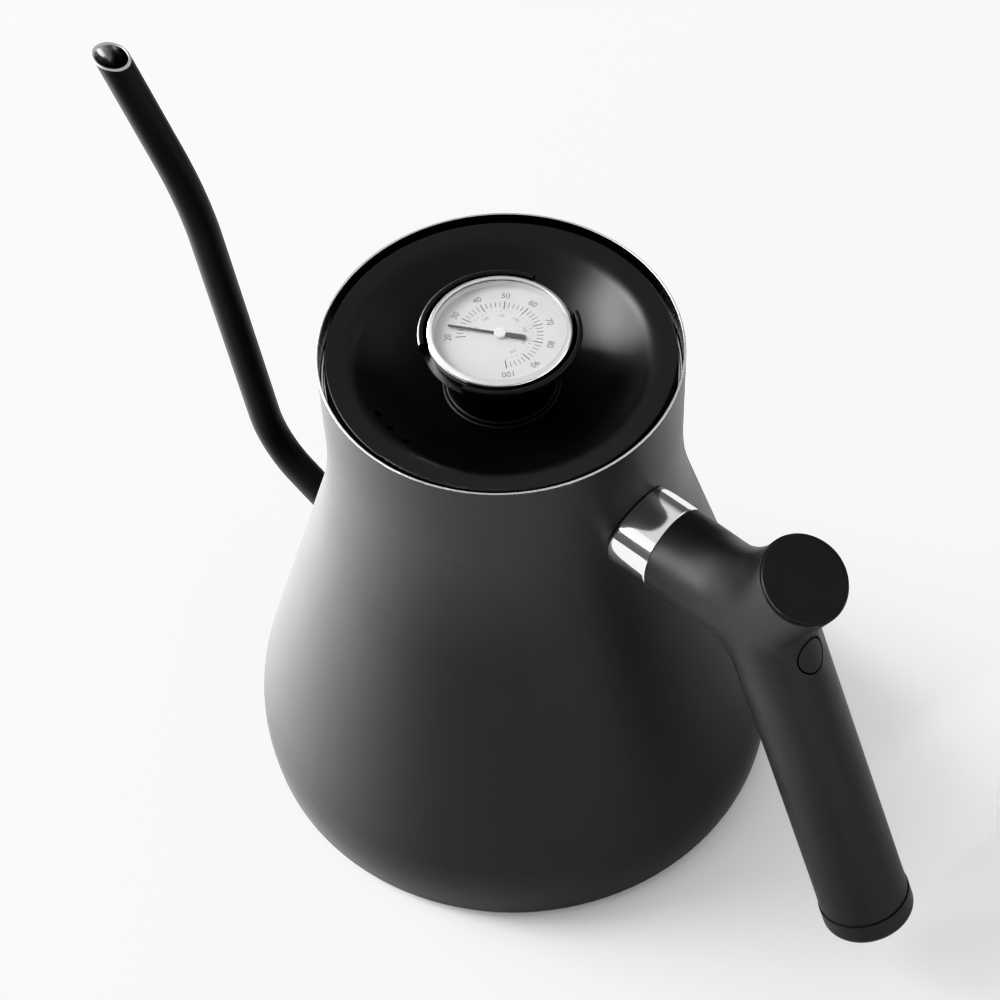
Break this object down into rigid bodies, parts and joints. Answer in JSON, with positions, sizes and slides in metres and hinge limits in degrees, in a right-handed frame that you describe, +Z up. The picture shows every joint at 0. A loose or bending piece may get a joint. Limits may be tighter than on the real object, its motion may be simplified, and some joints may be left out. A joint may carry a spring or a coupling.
{
  "type": "gooseneck kettle",
  "caption": "Flared stovetop kettle with a slim gooseneck spout, a canted grip on a steel collar, and a dished lift-off lid whose knob holds a dial thermometer.",
  "frame": {"origin": "where the kettle's axis meets the surface it stands on", "axes": "+Z up along the kettle's axis, +X towards the handle, -X towards the spout"},
  "size_m": [0.2872, 0.15, 0.176],
  "materials": {
    "black_coat": "matt powder coat with a fine grain",
    "bare_steel": "brushed",
    "base_steel": "turned",
    "polished_steel": "polished",
    "bezel_steel": "satin polish",
    "bolt_steel": "plain",
    "weight_steel": "plain",
    "core_aluminium": "plain",
    "soft_black": "soft-touch moulding",
    "disc_black": "flat matt",
    "lid_black": "satin",
    "knob_black": "satin",
    "silicone": "matt",
    "dial_white": "white enamel",
    "spacer_white": "white",
    "lens_clear": "clear",
    "bimetal": "plain",
    "pointer_black": "black paint"
  },
  "bodies": {
    "kettle": {"kettle_body": "black_coat", "mouth_ring": "bare_steel", "base_core": "core_aluminium", "base_plate": "base_steel", "spout_tube": "black_coat", "handle_boss": "bare_steel", "collar_gasket": "silicone", "handle_collar": "polished_steel", "handle_body": "soft_black", "handle_bolt": "bolt_steel", "bolt_washer": "bolt_steel", "screw_plug": "soft_black", "thumb_disc": "disc_black", "end_cap": "soft_black", "counterweight": "weight_steel"},
    "lid_seal": {"lid_seal": "silicone"},
    "lid": {"lid_cover": "lid_black", "lid_liner": "bare_steel", "lid_knob": "knob_black", "knob_gasket": "silicone", "knob_nut": "bolt_steel", "stem_grommet": "silicone"},
    "thermometer": {"thermometer_case": "bezel_steel", "thermometer_stem": "bezel_steel", "calibration_nut": "bolt_steel", "dial_plate": "dial_white", "dial_spacer": "spacer_white", "dial_lens": "lens_clear", "bimetal_coil": "bimetal"},
    "pointer": {"pointer": "pointer_black", "pointer_shaft": "bolt_steel"}
  },
  "joints": [
    {"name": "lid_lift", "type": "slide", "parent": "kettle", "child": "lid_seal", "axis": [0, 0, 1], "range_m": [0, 0.12]},
    {"name": "lid_turn", "type": "hinge", "parent": "lid_seal", "child": "lid", "pos_m": [0, 0, 0.1555], "axis": [0, 0, 1], "continuous": true},
    {"name": "thermometer_lift", "type": "slide", "parent": "lid", "child": "thermometer", "axis": [0, 0, 1], "range_m": [0, 0.115]},
    {"name": "pointer_turn", "type": "hinge", "parent": "thermometer", "child": "pointer", "pos_m": [0, 0, 0.1663], "axis": [0, 0, -1], "range_deg": [-3, 246], "stiffness_Nm_per_rad": 0.00001}
  ]
}
